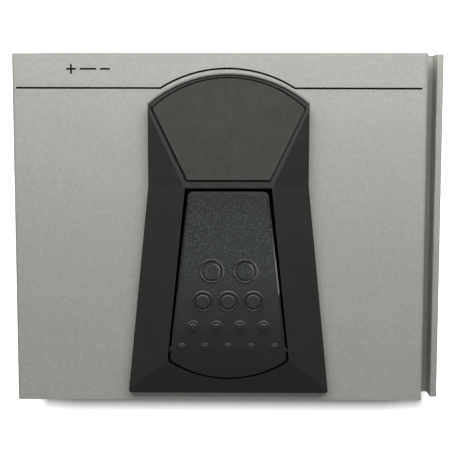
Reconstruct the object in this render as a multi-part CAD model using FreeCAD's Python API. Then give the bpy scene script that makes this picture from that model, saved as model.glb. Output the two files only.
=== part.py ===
import FreeCAD, Part

import math
import os

from FreeCAD import Vector

# Foot pedal switch: an aluminium body extruded from front to rear, a low black pedal frame on its top
# and a treadle that swings down inside the frame onto a snap switch.
# X runs across the pedal, Y to the rear where the cable plugs in, and Z up.
# The origin lies on the floor under the middle of the body.  All lengths are in millimetres.

# Body extrusion
body_width = 102.0
body_depth = 83.0
body_height = 19.0
plate_thickness = 2.0
wall_thickness = 2.0
body_edge_radius = 0.8
body_inner_radius = 0.5

# Rail along the right side and lip along the left side, which hook two pedals together side by side
rail_thickness = 1.6
rail_groove = 2.7
rail_drop = 3.4
rail_groove_depth = 8.2
rail_floor = 1.8
rail_edge_radius = 0.3
lip_thickness = 2.3
lip_depth = 7.8
lip_slot = 2.0

# Ledges that carry the base plate, and slit channels that take the screws of the end panels
ledge_width = 8.0
ledge_thickness = 1.8
channel_radius = 3.2
channel_offset = 2.9
channel_height = 10.5
channel_slit = 1.0

# End panels, base plate and feet
panel_thickness = 1.2
panel_clearance = 0.1
front_recess = 2.2
rear_recess = 3.2
base_thickness = 1.2
base_recess = 0.1
base_clearance = 0.15
base_end_gap = 0.2
base_screw_from_end = 9.0
foot_height = 1.6
foot_radius = 5.5
foot_from_side = 20.0
foot_from_end = 9.0
foot_chamfer = 0.4

# Screws of 3 mm and 2.5 mm
m3_shank = 1.45
m3_hole = 1.5
m3_passage = 1.7
m3_head = 2.75
m3_head_height = 1.7
m3_low_head_height = 1.1
m25_shank = 1.2
m25_hole = 1.25
m25_passage = 1.4
m25_head = 2.2
m25_head_height = 1.4
head_chamfer = 0.35
cross_length = 2.6
cross_width = 0.6
cross_depth = 0.7
panel_screw_length = 8.0
base_screw_length = 5.0
board_screw_length = 4.2

# Treadle in plan, narrow at the rear and rounded at the front, measured from the body's front edge
treadle_rear_from_front = 50.9
treadle_rear_half = 9.3
treadle_front_from_front = 10.85
treadle_front_half = 13.9
treadle_apex_from_front = 6.3
treadle_corner = 1.2
treadle_front_corner = 1.2
rear_gap = 0.75
rear_side_gap = 0.88
front_side_gap = 0.45
front_gap = 0.3
opening_front_corner = 1.5

# Treadle in side view
treadle_rise = 0.4
treadle_skin = 2.0
treadle_wall = 1.6
treadle_roll_from_front = 18.2
treadle_roll_radius = 30.0
treadle_edge_radius = 0.6
skirt_depth = 8.4

# Raised marks on the treadle, from the rear row to the front row: each row has its distance from the
# body's front edge, the radius of a mark and the places across
disc_rows = [(32.3, 2.0, (-3.92, 3.92)), (25.15, 1.6, (-5.9, 0.0, 5.9))]
step_rows = [(19.25, 1.45, (-8.25, -2.75, 2.75, 8.25)), (14.4, 0.95, (-10.9, -5.45, 0.0, 5.45, 10.9))]
disc_height = 0.45
disc_chamfer = 0.15
moat_width = 0.35
moat_depth = 0.25
ring_width = 0.6
ring_height = 0.12
step_height = 0.22
step_share = 0.52
step_chamfer = 0.2
mark_root = 0.3

# Hinge at the front end of the treadle
hinge_from_front = 12.0
hinge_below_plate = 1.3
hinge_pin_radius = 1.0
hinge_clearance = 0.06
hinge_seat_clearance = 0.02
hinge_end_gap = 0.25
hinge_boss_radius = 2.4
hinge_boss_length = 4.0
press_angle = 4.2

# Pedal frame, a low roof that falls away to all sides from a level rim round the treadle
frame_height = 5.5
frame_rim = 0.25
frame_waist_half = 18.88
frame_waist_height = 1.75
frame_rear_inset = 12.28
frame_shoulder_inset = 0.9
frame_apex_inset = 5.24
frame_front_inset = 2.13
frame_flare = 5.05
frame_front_height = 1.45
frame_corner = 0.6
frame_rear_height = 0.85
frame_skin = 1.8
frame_margin = 1.6

# Well of the frame, which reaches through the plate round the treadle
well_wall = 1.5
well_floor = 1.5
well_depth = 6.5
well_gap = 0.3

# Fan-shaped inlay in the rear slope of the frame
fan_front_from_front = 53.5
fan_front_spread = 0.3
fan_rear_inset = 12.93
fan_side_inset = 1.04
fan_apex_inset = 5.86
fan_thickness = 0.7
fan_sink = 0.1
fan_gap = 0.3

# Seat in the plate along the rear arc of the frame, a narrow gap with a bevel outside it
seat_gap = 0.22
seat_depth = 0.6
seat_bevel_width = 0.5
seat_bevel_depth = 0.2

# Screws of the frame, driven up through the plate: distance from the centre line, from the front edge
# or, for the last pair, from the rear edge
frame_screws_from_front = [(15.6, 42.5), (18.6, 14.5)]
frame_screws_from_rear = [(8.0, 19.3)]
frame_screw_bite = 2.2
frame_screw_end_gap = 0.2
frame_boss_radius = 2.3

# Hooks at the rear of the treadle, which stop it in the windows of the well
hook_centre = 5.0
hook_width = 4.0
hook_reach = 1.6
hook_thickness = 1.2
hook_below_plate = 1.0
window_margin = 0.4
window_rest_gap = 0.05

# Return spring
spring_from_front = 44.0
spring_mean_radius = 3.6
spring_wire = 0.9
spring_turns = 5
spring_seat_gap = 0.05
spring_boss_clearance = 0.35
spring_boss_height = 1.5

# Rubber stops in the floor of the well
stop_x = 6.2
stop_from_front = 46.0
stop_radius = 1.6
stop_height = 1.6
stop_stem = 0.9
stop_stem_clearance = 0.05
stop_barb_radius = 1.3
stop_barb_height = 0.6
stop_rest_gap = 0.1
stop_post_radius = 1.3

# Circuit board
board_thickness = 1.6
board_lift = 2.2
board_left_gap = 5.7
board_right_gap = 9.2
board_before_snap = 3.0
board_rear_gap = 0.7
board_corner = 1.5
board_hole_from_side = 6.0
board_hole_from_end = 3.5
board_hole_behind_slide = 14.0
board_hole_beside_jack = 12.0
standoff_radius = 2.7
standoff_neck = 2.0
standoff_seat_gap = 0.03
lead_gap = 0.15
lead_tail = 0.8

# Snap switch on the board under the treadle
snap_from_front = 24.5
snap_length = 12.8
snap_width = 5.8
snap_height = 6.5
snap_opening_gap = 0.6
snap_lead_width = 0.9
snap_lead_thickness = 0.6
snap_lead_pitch = 4.8
lever_thickness = 0.3
lever_width = 4.0
lever_bead = 0.45
lever_bead_gap = 0.08
lever_pivot_rise = 0.65
lever_pivot_inset = 0.8
lever_pivot_cover = 0.4
lever_pivot_mouth = 0.3
lever_length = 12.6
lever_angle = 12.0
plunger_reach = 4.6
plunger_width = 2.0
plunger_length = 1.2
plunger_gap = 0.1
plunger_height = 3.0
plunger_travel = 0.7
plunger_rest_gap = 0.05
pusher_reach = 11.4
pusher_radius = 0.8
pusher_width = 5.0
pusher_rest_gap = 0.08

# Jack socket for a plug of 6.35 mm
jack_from_side = 18.7
jack_width = 14.4
jack_height = 11.0
jack_length = 27.9
jack_chamber = 3.9
jack_end_wall = 1.0
jack_edge_radius = 0.8
bushing_radius = 4.5
bushing_bore = 3.25
bushing_grip = 3.6
bushing_tip_gap = 0.3
bushing_clearance = 0.04
bushing_chamfer = 0.3
nut_across_flats = 12.0
nut_thickness = 2.0
washer_radius = 6.2
washer_thickness = 0.5
panel_hole_gap = 0.2
contact_thickness = 0.4
contact_width = 2.2
contact_gap = 0.12
sleeve_ring = 4.35
sleeve_ring_bore = 3.45
tip_contact_start = 2.0
tip_contact_length = 15.0
tip_contact_offset = 4.2
tip_detent_radius = 0.85
tip_detent_place = 2.5

# Polarity slide switch on the board, worked through a slot in the rear panel
slide_from_side = 11.7
slide_width = 10.5
slide_height = 6.0
slide_depth = 5.0
slide_metal = 0.5
slide_back = 1.2
slide_panel_gap = 0.1
slide_block_width = 5.5
slide_travel = 2.0
slide_clearance = 0.15
knob_width = 2.6
knob_height = 2.2
knob_tip_gap = 0.5
knob_chamfer = 0.3
slot_margin = 0.4
slide_lead_pitch = 3.0
slide_lead_width = 0.9
slide_lead_thickness = 0.5
slide_lead_reach = 0.9

# Levels and edges that follow from the values above
body_left = -body_width / 2
body_right = body_width / 2
body_front = -body_depth / 2
body_rear = body_depth / 2
body_bottom = foot_height - base_recess
body_top = body_bottom + body_height
plate_under = body_top - plate_thickness
plate_right = body_right - rail_thickness - rail_groove
inside_left = body_left + lip_thickness + lip_slot + wall_thickness
inside_right = plate_right - wall_thickness
base_top = foot_height + base_thickness
front_panel_outer = body_front + front_recess
front_panel_inner = front_panel_outer + panel_thickness
rear_panel_outer = body_rear - rear_recess
rear_panel_inner = rear_panel_outer - panel_thickness
channel_z = body_bottom + channel_height
channel_places = [inside_left + channel_offset, inside_right - channel_offset]
ledge_places = [inside_left + ledge_width / 2, inside_right - ledge_width / 2]
base_screw_places = [(x, y) for x in ledge_places
                     for y in (body_front + base_screw_from_end, body_rear - base_screw_from_end)]
foot_places = [(x, y) for x in (body_left + foot_from_side, body_right - foot_from_side)
               for y in (body_front + foot_from_end, body_rear - foot_from_end)]
treadle_rear_y = body_front + treadle_rear_from_front
treadle_front_y = body_front + treadle_front_from_front
treadle_apex_y = body_front + treadle_apex_from_front
treadle_roll_y = body_front + treadle_roll_from_front
hinge_y = body_front + hinge_from_front
hinge_z = body_top - hinge_below_plate
frame_front_y = body_front + frame_front_inset
frame_rear_y = body_rear - frame_rear_inset
frame_apex_y = body_rear - frame_apex_inset
frame_front_half = frame_waist_half + frame_flare
frame_screw_places = ([(x, body_front + reach) for x, reach in frame_screws_from_front]
                      + [(x, body_rear - reach) for x, reach in frame_screws_from_rear])
fan_front_y = body_front + fan_front_from_front
fan_rear_y = body_rear - fan_rear_inset
fan_apex_y = body_rear - fan_apex_inset
fan_front_half = treadle_rear_half + fan_front_spread
fan_rear_half = frame_waist_half - fan_side_inset
spring_y = body_front + spring_from_front
stop_y = body_front + stop_from_front
snap_front_y = body_front + snap_from_front
jack_x = inside_right - jack_from_side
slide_x = inside_left + slide_from_side
board_left = inside_left + board_left_gap
board_right = inside_right - board_right_gap
board_front = snap_front_y - board_before_snap
treadle_top = body_top + frame_height + treadle_rise
treadle_under = treadle_top - treadle_skin
skirt_bottom = treadle_top - skirt_depth
well_top_of_floor = body_top - well_depth
well_bottom = well_top_of_floor - well_floor
treadle_halves = (treadle_rear_half, treadle_front_half)
opening_halves = (treadle_rear_half + rear_side_gap, treadle_front_half + front_side_gap)
opening_rear_y = treadle_rear_y + rear_gap
ridge_y = opening_rear_y + frame_rim
fan_slope = (frame_height - frame_rear_height) / (frame_apex_y - ridge_y)
board_bottom = base_top + board_lift
board_top = board_bottom + board_thickness
board_rear = rear_panel_inner - board_rear_gap
lead_bottom = board_bottom - lead_tail
board_holes = [
    (board_left + board_hole_from_side, board_front + board_hole_from_end),
    (board_right - board_hole_from_side, board_front + board_hole_from_end),
    (board_left + board_hole_from_side, board_rear - board_hole_behind_slide),
    (jack_x - board_hole_beside_jack, board_rear - board_hole_from_end),
]
snap_rear_y = snap_front_y + snap_length
snap_top = board_top + snap_height
lever_y = snap_front_y + lever_pivot_inset
lever_z = snap_top + lever_pivot_rise
jack_z = board_top + jack_height / 2
jack_front_y = rear_panel_inner - jack_length
bushing_inner = rear_panel_inner - bushing_grip
bushing_tip = body_rear - bushing_tip_gap
sleeve_y = bushing_inner - contact_gap - contact_thickness
slide_z = board_top + slide_height / 2
slide_rear = rear_panel_inner - slide_panel_gap
slide_front = slide_rear - slide_depth
slide_back_y = slide_front - slide_back
across = Vector(1, 0, 0)
rearward = Vector(0, 1, 0)
upward = Vector(0, 0, 1)


def save(node, shape):
    shape.exportStep("parts/" + node + ".step")


def box(x0, x1, y0, y1, z0, z1):
    return Part.makeBox(x1 - x0, y1 - y0, z1 - z0, Vector(x0, y0, z0))


def rod(radius, length, x, y, z, direction=upward):
    return Part.makeCylinder(radius, length, Vector(x, y, z), direction)


def tube(outer, inner, length, x, y, z, direction=upward):
    return rod(outer, length, x, y, z, direction).cut(rod(inner, length, x, y, z, direction))


def prism(wire, z0, z1):
    face = Part.Face(wire)
    face.translate(Vector(0, 0, z0))
    return face.extrude(Vector(0, 0, z1 - z0))


def lines(points):
    return [Part.LineSegment(a, b).toShape() for a, b in zip(points, points[1:])]


def edges_at(shape, direction, places):
    """Straight edges along a direction through any of the places, compared square to that direction."""
    found = []
    for edge in shape.Edges:
        if edge.Curve.TypeId != "Part::GeomLine":
            continue
        start = edge.Vertexes[0].Point
        run = edge.Vertexes[-1].Point.sub(start)
        if run.Length < 0.01 or run.cross(direction).Length > 0.001 * run.Length:
            continue
        if any(place.sub(start).cross(direction).Length < 0.01 for place in places):
            found.append(edge)
    return found


def section_corner(x, z):
    return Vector(x, 0, z)


def body_section():
    """Outline of the extrusion: plate, hanging lip, two walls and the rail with its groove."""
    rail_under = body_top - rail_groove_depth - rail_floor
    wall_left = inside_left - wall_thickness
    corners = [
        (body_left, body_top), (body_left, body_top - lip_depth),
        (body_left + lip_thickness, body_top - lip_depth), (body_left + lip_thickness, plate_under),
        (wall_left, plate_under), (wall_left, body_bottom),
        (inside_left, body_bottom), (inside_left, plate_under),
        (inside_right, plate_under), (inside_right, body_bottom),
        (plate_right, body_bottom), (plate_right, rail_under),
        (body_right, rail_under), (body_right, body_top - rail_drop),
        (body_right - rail_thickness, body_top - rail_drop),
        (body_right - rail_thickness, body_top - rail_groove_depth),
        (plate_right, body_top - rail_groove_depth), (plate_right, body_top),
    ]
    points = [Vector(x, body_front, z) for x, z in corners + corners[:1]]
    return Part.Face(Part.Wire(lines(points)))


def extrusion():
    bar = body_section().extrude(Vector(0, body_depth, 0))
    rail_top = body_top - rail_drop
    groove_floor = body_top - rail_groove_depth
    outer = [section_corner(body_left, body_top), section_corner(plate_right, body_top)]
    bar = bar.makeFillet(body_edge_radius, edges_at(bar, rearward, outer))
    small = [
        section_corner(body_right, rail_top), section_corner(body_right - rail_thickness, rail_top),
        section_corner(body_right, groove_floor - rail_floor),
        section_corner(body_left, body_top - lip_depth),
        section_corner(body_left + lip_thickness, body_top - lip_depth),
    ]
    bar = bar.makeFillet(rail_edge_radius, edges_at(bar, rearward, small))
    inner = [
        section_corner(body_right - rail_thickness, groove_floor), section_corner(plate_right, groove_floor),
        section_corner(inside_left, plate_under), section_corner(inside_right, plate_under),
    ]
    return bar.makeFillet(body_inner_radius, edges_at(bar, rearward, inner))


def ledge(side_x, centre_x):
    near = min(side_x, centre_x - ledge_width / 2)
    far = max(side_x, centre_x + ledge_width / 2)
    return box(near, far, front_panel_inner, rear_panel_inner, base_top, base_top + ledge_thickness)


def channel(x, wall_x):
    """Screw channel on a wall, with the slit on the side away from the wall."""
    length = rear_panel_inner - front_panel_inner
    round_bar = rod(channel_radius, length, x, front_panel_inner, channel_z, rearward)
    inward = 1 if x > wall_x else -1
    slit_end = x + inward * channel_radius * 2
    slit = box(min(x, slit_end), max(x, slit_end), front_panel_inner, rear_panel_inner,
               channel_z - channel_slit / 2, channel_z + channel_slit / 2)
    bore = rod(m3_hole, length, x, front_panel_inner, channel_z, rearward)
    room = box(inside_left - wall_thickness / 2, inside_right + wall_thickness / 2,
               front_panel_inner, rear_panel_inner, body_bottom, body_top)
    return round_bar.common(room).cut(slit).cut(bore)


def chassis_shell():
    shell = extrusion()
    half_wall = wall_thickness / 2
    for side_x, centre_x in zip((inside_left - half_wall, inside_right + half_wall), ledge_places):
        shell = shell.fuse(ledge(side_x, centre_x))
    for x, wall_x in zip(channel_places, (inside_left, inside_right)):
        shell = shell.fuse(channel(x, wall_x))
    shell = shell.cut(well_prism(well_wall + well_gap, plate_under, body_top))
    shell = shell.cut(seat_ring())
    for x, y in base_screw_places:
        shell = shell.cut(rod(m3_hole, ledge_thickness, x, y, base_top))
    for x, y in both_sides(frame_screw_places):
        shell = shell.cut(rod(m25_passage, plate_thickness, x, y, plate_under))
    return shell.removeSplitter()


def both_sides(places):
    return [(side * x, y) for x, y in places for side in (-1, 1)]


def panel(outer_y, inner_y):
    y0 = min(outer_y, inner_y)
    sheet = box(inside_left + panel_clearance, inside_right - panel_clearance, y0, y0 + panel_thickness,
                base_top + panel_clearance, plate_under - panel_clearance)
    corners = [Vector(x, y0, plate_under - panel_clearance)
               for x in (inside_left + panel_clearance, inside_right - panel_clearance)]
    sheet = sheet.makeFillet(body_inner_radius, edges_at(sheet, rearward, corners))
    for x in channel_places:
        sheet = sheet.cut(rod(m3_passage, panel_thickness, x, y0, channel_z, rearward))
    return sheet


def rear_panel():
    sheet = panel(rear_panel_outer, rear_panel_inner)
    jack_hole = rod(bushing_radius + panel_hole_gap, panel_thickness, jack_x, rear_panel_inner, jack_z,
                    rearward)
    half = (knob_width + slide_travel) / 2 + slot_margin
    slot = box(slide_x - half, slide_x + half, rear_panel_inner, rear_panel_outer,
               slide_z - knob_height / 2 - slot_margin, slide_z + knob_height / 2 + slot_margin)
    return sheet.cut(jack_hole).cut(slot)


def screw(head_radius, head_height, shank_radius, length):
    """Cross-headed screw that hangs down from the plane Z = 0, with its head above the plane."""
    head = rod(head_radius, head_height, 0, 0, 0)
    rim = [edge for edge in head.Edges if edge.BoundBox.ZMin > head_height / 2]
    head = head.makeChamfer(head_chamfer, rim)
    for length_x, length_y in ((cross_length, cross_width), (cross_width, cross_length)):
        head = head.cut(box(-length_x / 2, length_x / 2, -length_y / 2, length_y / 2,
                            head_height - cross_depth, head_height))
    return head.fuse(rod(shank_radius, length, 0, 0, -length)).removeSplitter()


def place(shape, x, y, z, direction=upward):
    """Copy of a shape with its own Z axis turned to a direction and its origin moved to a point."""
    moved = shape.copy()
    moved.Placement = FreeCAD.Placement(Vector(x, y, z), FreeCAD.Rotation(upward, direction))
    return moved


def panel_screws():
    pattern = screw(m3_head, m3_head_height, m3_shank, panel_screw_length)
    front = [place(pattern, x, front_panel_outer, channel_z, rearward * -1) for x in channel_places]
    rear = [place(pattern, x, rear_panel_outer, channel_z, rearward) for x in channel_places]
    return Part.makeCompound(front + rear)


def base_plate():
    sheet = box(inside_left + base_clearance, inside_right - base_clearance,
                body_front + base_end_gap, body_rear - base_end_gap, foot_height, base_top)
    corners = [Vector(x, y, 0) for x in (inside_left + base_clearance, inside_right - base_clearance)
               for y in (body_front + base_end_gap, body_rear - base_end_gap)]
    sheet = sheet.makeFillet(body_inner_radius, edges_at(sheet, upward, corners))
    for x, y in base_screw_places:
        sheet = sheet.cut(rod(m3_passage, base_thickness, x, y, foot_height))
    for x, y in board_holes:
        sheet = sheet.cut(rod(standoff_neck + standoff_seat_gap, base_thickness, x, y, foot_height))
    return sheet


def base_screws():
    pattern = screw(m3_head, m3_low_head_height, m3_shank, base_screw_length)
    return Part.makeCompound([place(pattern, x, y, foot_height, upward * -1) for x, y in base_screw_places])


def rubber_feet():
    foot = rod(foot_radius, foot_height, 0, 0, 0)
    lower_rim = [edge for edge in foot.Edges if edge.BoundBox.ZMax < foot_height / 2]
    foot = foot.makeChamfer(foot_chamfer, lower_rim)
    return Part.makeCompound([place(foot, x, y, 0) for x, y in foot_places])


def flank_slope(halves):
    return (halves[1] - halves[0]) / (treadle_rear_y - treadle_front_y)


def flank_x(y, grown, halves):
    """Half width at a place along Y of an outline with the given half widths, grown square to its flank."""
    slope = flank_slope(halves)
    return halves[0] + (treadle_rear_y - y) * slope + grown * math.hypot(1, slope)


def wedge(side, rear, front, halves):
    """Outline in plan, narrow at the rear and round in front, grown at flanks, rear and front."""
    rise = treadle_front_y - treadle_apex_y
    arc_radius = (treadle_front_half ** 2 + rise ** 2) / (2 * rise)
    centre_y = treadle_apex_y + arc_radius
    radius = arc_radius + front
    slope = flank_slope(halves)
    reach = flank_x(0, side, halves)
    middle = reach * slope + centre_y
    spread = middle ** 2 - (1 + slope ** 2) * (reach ** 2 + centre_y ** 2 - radius ** 2)
    front_y = (middle - math.sqrt(spread)) / (1 + slope ** 2)
    front_x = flank_x(front_y, side, halves)
    rear_y = treadle_rear_y + rear
    rear_x = flank_x(rear_y, side, halves)
    left = Vector(-front_x, front_y, 0)
    right = Vector(front_x, front_y, 0)
    arc = Part.Arc(left, Vector(0, centre_y - radius, 0), right).toShape()
    sides = lines([right, Vector(rear_x, rear_y, 0), Vector(-rear_x, rear_y, 0), left])
    return Part.Wire([arc] + sides)


def frame_outline():
    front = [Vector(-frame_front_half, frame_front_y, 0), Vector(frame_front_half, frame_front_y, 0)]
    right = [Vector(frame_waist_half, ridge_y, 0), Vector(frame_waist_half, frame_rear_y, 0)]
    left = [Vector(-frame_waist_half, frame_rear_y, 0), Vector(-frame_waist_half, ridge_y, 0)]
    arc = Part.Arc(right[-1], Vector(0, frame_apex_y, 0), left[0]).toShape()
    return Part.Wire(lines(front + right) + [arc] + lines(left + front[:1]))


def seat_ring():
    """Gap and bevel that the plate has along the rear arc of the frame."""
    rise = frame_apex_y - frame_rear_y
    radius = (frame_waist_half ** 2 + rise ** 2) / (2 * rise)
    centre = Vector(0, frame_apex_y - radius, body_top)
    bevel_start = radius + seat_gap
    bevel_end = bevel_start + seat_bevel_width
    section = [(radius, 0), (radius, -seat_depth), (bevel_start, -seat_depth), (bevel_start, -seat_bevel_depth),
               (bevel_end, 0)]
    points = [centre + Vector(reach, 0, height) for reach, height in section + section[:1]]
    start = math.degrees(math.atan2(frame_rear_y - centre.y, frame_waist_half))
    face = Part.Face(Part.Wire(lines(points)))
    face.rotate(centre, upward, start)
    return face.revolve(centre, upward, 180 - 2 * start)


def cut_above(shape, a, b, c):
    """Takes away what lies above the plane through three points."""
    normal = b.sub(a).cross(c.sub(a))
    if normal.z < 0:
        normal = normal * -1
    size = 2 * (body_width + body_depth)
    block = Part.makeBox(size, size, size, Vector(-size / 2, -size / 2, 0))
    block.Placement = FreeCAD.Placement(a, FreeCAD.Rotation(upward, normal))
    return shape.cut(block)


def fan_z(y):
    return body_top + frame_height - fan_slope * (y - ridge_y)


def roof(inset, drop, rear_drop):
    """Roof-shaped block of the frame, drawn in from its outline and lowered by the given amounts."""
    face = Part.Face(frame_outline())
    if inset > 0:
        face = face.makeOffset2D(-inset)
    face.translate(Vector(0, 0, body_top))
    far = body_width + body_depth
    front = face.extrude(Vector(0, 0, frame_height - drop)).common(box(-far, far, -far, ridge_y, 0, far))
    rear = face.extrude(Vector(0, 0, frame_height - rear_drop)).common(box(-far, far, ridge_y, far, 0, far))
    ridge_z = body_top + frame_height
    waist_z = body_top + frame_waist_height
    ridge_rear_x = flank_x(opening_rear_y, 0, opening_halves) + frame_rim
    ridge_front_x = flank_x(treadle_front_y, 0, opening_halves) + frame_rim
    for side in (-1, 1):
        ridge_rear = Vector(side * ridge_rear_x, ridge_y, ridge_z)
        ridge_front = Vector(side * ridge_front_x, treadle_front_y, ridge_z)
        waist = Vector(side * frame_waist_half, ridge_y, waist_z)
        shoulder_y = frame_rear_y - frame_shoulder_inset
        shoulder = Vector(side * frame_waist_half, shoulder_y, fan_z(shoulder_y))
        lower = Vector(0, 0, -drop)
        rear_lower = Vector(0, 0, -rear_drop)
        front = cut_above(front, ridge_rear + lower, ridge_front + lower, waist + lower)
        rear = cut_above(rear, ridge_rear + rear_lower, waist + rear_lower, shoulder + rear_lower)
    front_edge = Vector(0, frame_front_y, body_top + frame_front_height - drop)
    front_ridge = Vector(0, treadle_front_y, ridge_z - drop)
    front = cut_above(front, front_edge, front_ridge, front_ridge + across)
    fan_start = Vector(0, ridge_y, ridge_z - rear_drop)
    fan_end = Vector(0, frame_apex_y, fan_z(frame_apex_y) - rear_drop)
    rear = cut_above(rear, fan_start, fan_end, fan_end + across)
    return front.fuse(rear).removeSplitter()


def fan_wire(grown):
    """Outline of the fan-shaped inlay in plan, grown by a gap."""
    corners = [Vector(-fan_front_half, fan_front_y, 0), Vector(fan_front_half, fan_front_y, 0),
               Vector(fan_rear_half, fan_rear_y, 0)]
    last = Vector(-fan_rear_half, fan_rear_y, 0)
    arc = Part.Arc(corners[-1], Vector(0, fan_apex_y, 0), last).toShape()
    wire = Part.Wire(lines(corners) + [arc] + lines([last, corners[0]]))
    return wire.makeOffset2D(grown) if grown else wire


def fan_layer(low, high):
    """Layer that follows the rear slope of the frame, between two heights above the slope."""
    ends = [fan_front_y - 2 * fan_thickness, fan_apex_y + 2 * fan_thickness]
    x = -frame_waist_half
    corners = [Vector(x, ends[0], fan_z(ends[0]) + low), Vector(x, ends[1], fan_z(ends[1]) + low),
               Vector(x, ends[1], fan_z(ends[1]) + high), Vector(x, ends[0], fan_z(ends[0]) + high)]
    face = Part.Face(Part.Wire(lines(corners + corners[:1])))
    return face.extrude(Vector(2 * frame_waist_half, 0, 0))


def fan_inlay():
    bottom = -fan_sink - fan_thickness
    return prism(fan_wire(0), body_top - frame_height, treadle_top).common(fan_layer(bottom, -fan_sink))


def swing_drop(y):
    """How far a point of the treadle goes down over the full press."""
    return (y - hinge_y) * math.sin(math.radians(press_angle))


def hook_window(side):
    """Window in the rear wall of the well, in which one hook of the treadle goes down."""
    hook_top = body_top - hook_below_plate
    y1 = treadle_rear_y + hook_reach
    low = hook_top - hook_thickness - swing_drop(y1) - window_margin
    half = hook_width / 2 + window_margin
    centre = side * hook_centre
    return box(centre - half, centre + half, treadle_rear_y, opening_rear_y + well_wall + window_margin,
               low, hook_top + window_rest_gap)


def well_prism(grown, z0, z1):
    """Upright block of the opening round the treadle, grown by a wall."""
    outline = wedge(grown, rear_gap + grown, front_gap + grown, opening_halves)
    block = prism(outline, z0, z1)
    corners = [vertex.Point for vertex in outline.Vertexes if vertex.Point.y < treadle_roll_y]
    return block.makeFillet(opening_front_corner + grown, edges_at(block, upward, corners))


def frame_core():
    """Hollow under the flanks of the frame, with the screw bosses left standing."""
    core = roof(frame_margin, frame_skin, frame_skin + fan_thickness + fan_sink)
    core = core.cut(well_prism(well_wall, well_bottom, treadle_top))
    for x, y in both_sides(frame_screw_places):
        core = core.cut(rod(frame_boss_radius, frame_height, x, y, body_top))
    return core


def spring_boss(z):
    radius = spring_mean_radius - spring_wire / 2 - spring_boss_clearance
    return rod(radius, spring_boss_height, 0, spring_y, z)


def pedal_frame():
    block = roof(0, 0, 0)
    corners = [Vector(side * x, y, 0) for side in (-1, 1)
               for x, y in ((frame_front_half, frame_front_y), (frame_waist_half, frame_rear_y))]
    block = block.makeFillet(frame_corner, edges_at(block, upward, corners))
    block = block.cut(frame_core())
    frame = block.fuse(well_prism(well_wall, well_bottom, body_top + frame_front_height / 2))
    frame = frame.cut(well_prism(0, well_top_of_floor, treadle_top))
    frame = frame.fuse(spring_boss(well_top_of_floor))
    frame = frame.cut(prism(fan_wire(fan_gap), body_top - frame_height, treadle_top)
                      .common(fan_layer(-fan_sink - fan_thickness, frame_height)))
    for side in (-1, 1):
        frame = frame.cut(hook_window(side))
        frame = frame.cut(rod(stop_stem, well_floor, side * stop_x, stop_y, well_bottom))
    pin_half = flank_x(hinge_y, well_wall + well_gap, opening_halves)
    frame = frame.cut(rod(hinge_pin_radius + hinge_seat_clearance, 2 * pin_half, -pin_half, hinge_y, hinge_z,
                          across))
    half = snap_width / 2 + snap_opening_gap
    frame = frame.cut(box(-half, half, snap_front_y - snap_opening_gap, snap_rear_y + snap_opening_gap,
                          well_bottom, well_top_of_floor))
    for x, y in both_sides(frame_screw_places):
        frame = frame.cut(rod(m25_hole, frame_screw_bite, x, y, body_top))
    return frame.removeSplitter()


def frame_screws():
    length = plate_thickness + frame_screw_bite - frame_screw_end_gap
    pattern = screw(m25_head, m25_head_height, m25_shank, length)
    places = both_sides(frame_screw_places)
    return Part.makeCompound([place(pattern, x, y, plate_under, upward * -1) for x, y in places])


def hinge_pin():
    half = flank_x(hinge_y, well_wall + well_gap, opening_halves) - hinge_end_gap
    return rod(hinge_pin_radius, 2 * half, -half, hinge_y, hinge_z, across)


def treadle_z(y):
    """Height of the treadle's top at a place along Y."""
    if y >= treadle_roll_y:
        return treadle_top
    fall = treadle_roll_radius - math.sqrt(treadle_roll_radius ** 2 - (treadle_roll_y - y) ** 2)
    return treadle_top - fall


def treadle_profile(lower):
    """Side view of the treadle, level at the rear and rolling down at the front, as a wide block."""
    rear_y = treadle_rear_y + rear_gap
    front_y = treadle_apex_y - front_gap
    middle_y = (treadle_roll_y + front_y) / 2
    x = -2 * treadle_front_half
    low = hinge_z - 2 * hinge_boss_radius
    rear_points = [Vector(x, front_y, low), Vector(x, rear_y, low), Vector(x, rear_y, treadle_top - lower),
                   Vector(x, treadle_roll_y, treadle_top - lower)]
    front_top = Vector(x, front_y, treadle_z(front_y) - lower)
    roll = Part.Arc(rear_points[-1], Vector(x, middle_y, treadle_z(middle_y) - lower), front_top).toShape()
    wire = Part.Wire(lines(rear_points) + [roll] + lines([front_top, rear_points[0]]))
    return Part.Face(wire).extrude(Vector(4 * treadle_front_half, 0, 0))


def on_top(edge):
    """True for the edges that go round the top of the treadle."""
    ends = [vertex.Point for vertex in edge.Vertexes]
    across_the_roll = all(abs(point.y - treadle_roll_y) < 0.01 for point in ends)
    return not across_the_roll and all(abs(point.z - treadle_z(point.y)) < 0.01 for point in ends)


def treadle_shell():
    block = prism(wedge(0, 0, 0, treadle_halves), skirt_bottom, treadle_top + treadle_skin)
    for radius, x, y in ((treadle_corner, treadle_rear_half, treadle_rear_y),
                         (treadle_front_corner, treadle_front_half, treadle_front_y)):
        corners = [Vector(side * x, y, 0) for side in (-1, 1)]
        block = block.makeFillet(radius, edges_at(block, upward, corners))
    block = block.common(treadle_profile(0))
    block = block.makeFillet(treadle_edge_radius, [edge for edge in block.Edges if on_top(edge)])
    inner = wedge(-treadle_wall, -treadle_wall, -treadle_wall, treadle_halves)
    hollow = prism(inner, skirt_bottom, treadle_top)
    return block.cut(hollow.common(treadle_profile(treadle_skin)))


def row_places(rows):
    """Centre and radius of each mark in a list of rows."""
    return [(x, body_front + reach, radius) for reach, radius, across_places in rows for x in across_places]


def disc(x, y, radius, height, chamfer):
    """Disc with a bevelled rim that stands out by a height and is rooted in the treadle's skin."""
    depth = moat_depth + mark_root
    shape = rod(radius, height + depth, x, y, treadle_z(y) - depth)
    rim = [edge for edge in shape.Edges if edge.BoundBox.ZMin > treadle_z(y)]
    return shape.makeChamfer(chamfer, rim)


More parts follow.
